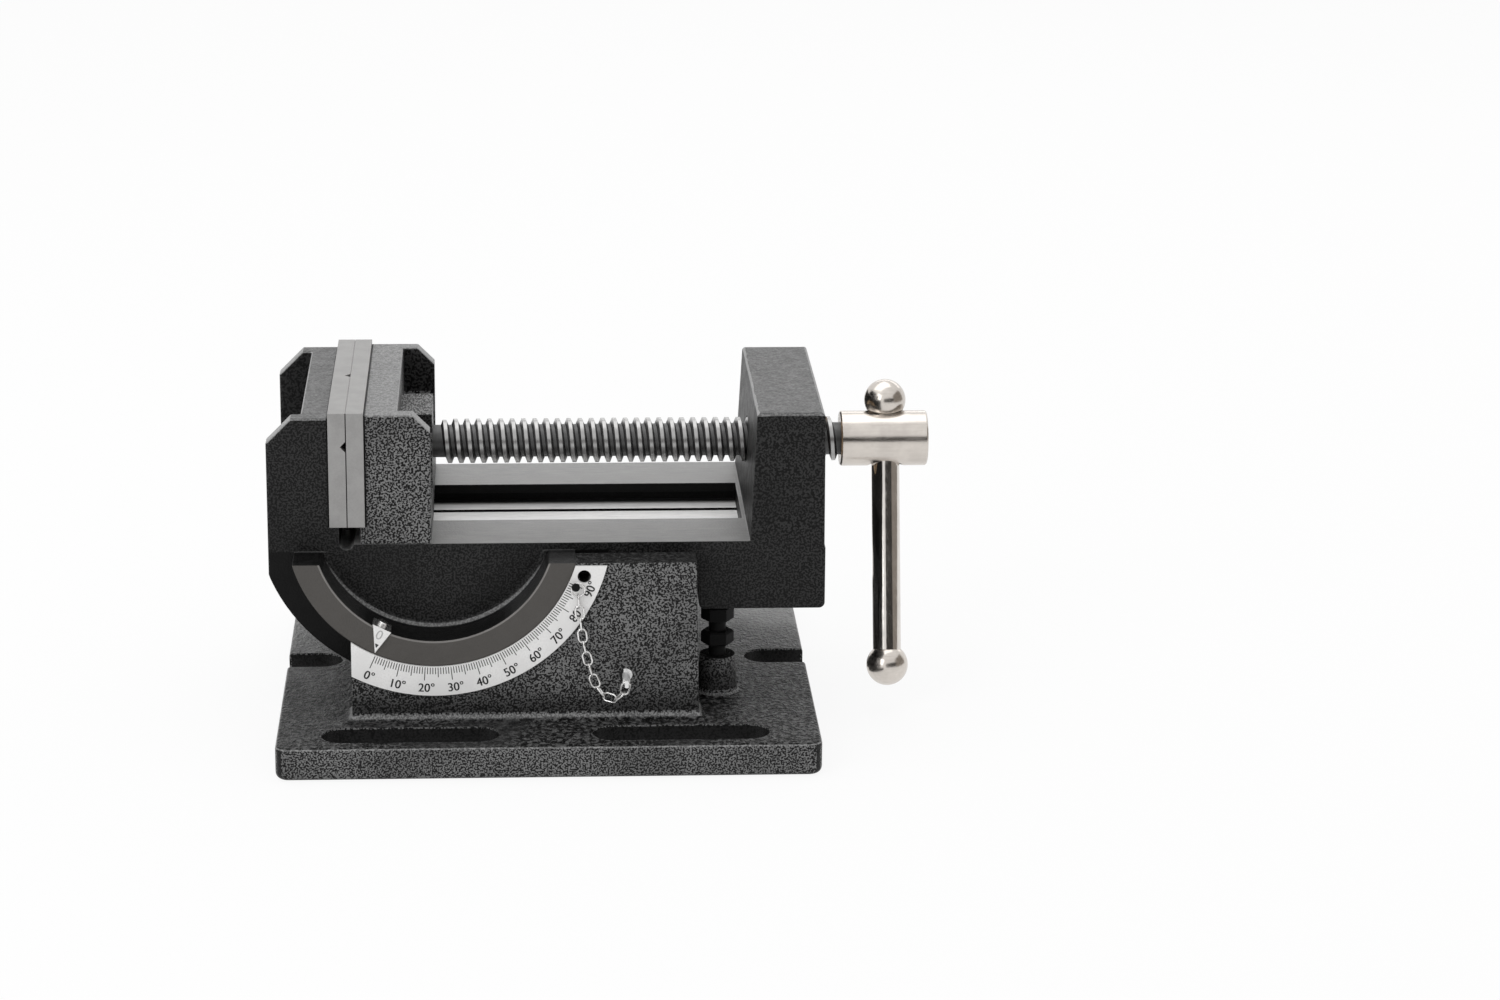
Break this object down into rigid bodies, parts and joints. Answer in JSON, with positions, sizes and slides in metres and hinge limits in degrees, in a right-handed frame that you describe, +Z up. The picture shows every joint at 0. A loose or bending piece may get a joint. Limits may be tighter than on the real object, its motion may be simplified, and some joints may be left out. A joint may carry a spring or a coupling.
{
  "type": "tilting drill press vise",
  "caption": "Tilting machine vise: slotted cast base, trunnion body with protractor, screw-driven sliding jaw, sliding T-bar handle.",
  "frame": {"origin": "on the base plate's underside, midway between its four long slots", "axes": "+X along the spindle towards the T-bar handle, -Y towards the side with the protractor scale, +Z up"},
  "size_m": [0.2311, 0.1866, 0.1172],
  "materials": {
    "painted_casting": "dark grey hammered paint",
    "ground_plate": "ground",
    "machined_part": "machined",
    "spindle_steel": "rolled, oiled",
    "black_screw": "black oxide",
    "satin_nickel": "satin nickel plate",
    "bright_chrome": "polished",
    "scale_white": "white printed",
    "chain_steel": "bright zinc",
    "nut_bronze": "machined"
  },
  "bodies": {
    "base": {"base_casting": "painted_casting", "scale_plate": "scale_white", "chain_screw": "black_screw", "chain_ring": "chain_steel", "chain": "chain_steel"},
    "tilting_body": {"vise_body": "painted_casting", "fixed_jaw_plate": "ground_plate", "fixed_plate_screws": "black_screw", "pointer": "scale_white", "pointer_screw": "chain_steel", "spindle_nut": "nut_bronze"},
    "sliding_jaw": {"moving_jaw": "painted_casting", "moving_jaw_plate": "ground_plate", "moving_plate_screws": "black_screw", "keeper_plate": "machined_part", "keeper_screws": "black_screw", "spindle_retainers": "machined_part"},
    "screw": {"spindle": "spindle_steel", "spindle_head": "satin_nickel"},
    "handle": {"t_bar": "bright_chrome", "t_bar_balls": "satin_nickel"},
    "pin": {"index_pin": "chain_steel"},
    "support": {"support_screw": "black_screw"},
    "lock_nut": {"support_lock_nut": "black_screw"},
    "clamp_lower": {"clamp_screw_lower": "black_screw"},
    "clamp_upper": {"clamp_screw_upper": "black_screw"}
  },
  "joints": [
    {"name": "tilt", "type": "hinge", "parent": "base", "child": "tilting_body", "pos_m": [-0.0377, 0, 0.0814], "axis": [0, -1, 0], "range_deg": [0, 90]},
    {"name": "jaw_slide", "type": "slide", "parent": "tilting_body", "child": "sliding_jaw", "axis": [1, 0, 0], "range_m": [0, 0.104]},
    {"name": "spindle_turn", "type": "hinge", "parent": "sliding_jaw", "child": "screw", "pos_m": [0.1, 0, 0.09304], "axis": [1, 0, 0], "range_deg": [0, 9360.1]},
    {"name": "t_bar_slide", "type": "slide", "parent": "screw", "child": "handle", "axis": [0, 0.2924, 0.9563], "range_m": [0, 0.0669]},
    {"name": "index_pin_pull", "type": "slide", "parent": "base", "child": "pin", "axis": [0, -1, 0], "range_m": [0, 0.024], "deforming": ["chain"]},
    {"name": "support_screw_lower", "type": "slide", "parent": "base", "child": "support", "axis": [0, 0, -1], "range_m": [0, 0.004]},
    {"name": "lock_nut_lower", "type": "slide", "parent": "base", "child": "lock_nut", "axis": [0, 0, -1], "range_m": [0, 0.0037]},
    {"name": "clamp_lower_turn", "type": "hinge", "parent": "base", "child": "clamp_lower", "pos_m": [-0.01484, 0.065, 0.03006], "axis": [0, 1, 0], "range_deg": [0, 180]},
    {"name": "clamp_upper_turn", "type": "hinge", "parent": "base", "child": "clamp_upper", "pos_m": [0.01097, 0.065, 0.0533], "axis": [0, 1, 0], "range_deg": [0, 180]}
  ],
  "couplings": [
    {"joint": "spindle_turn", "follows": "jaw_slide", "rad_per_m": 1570.8}
  ]
}
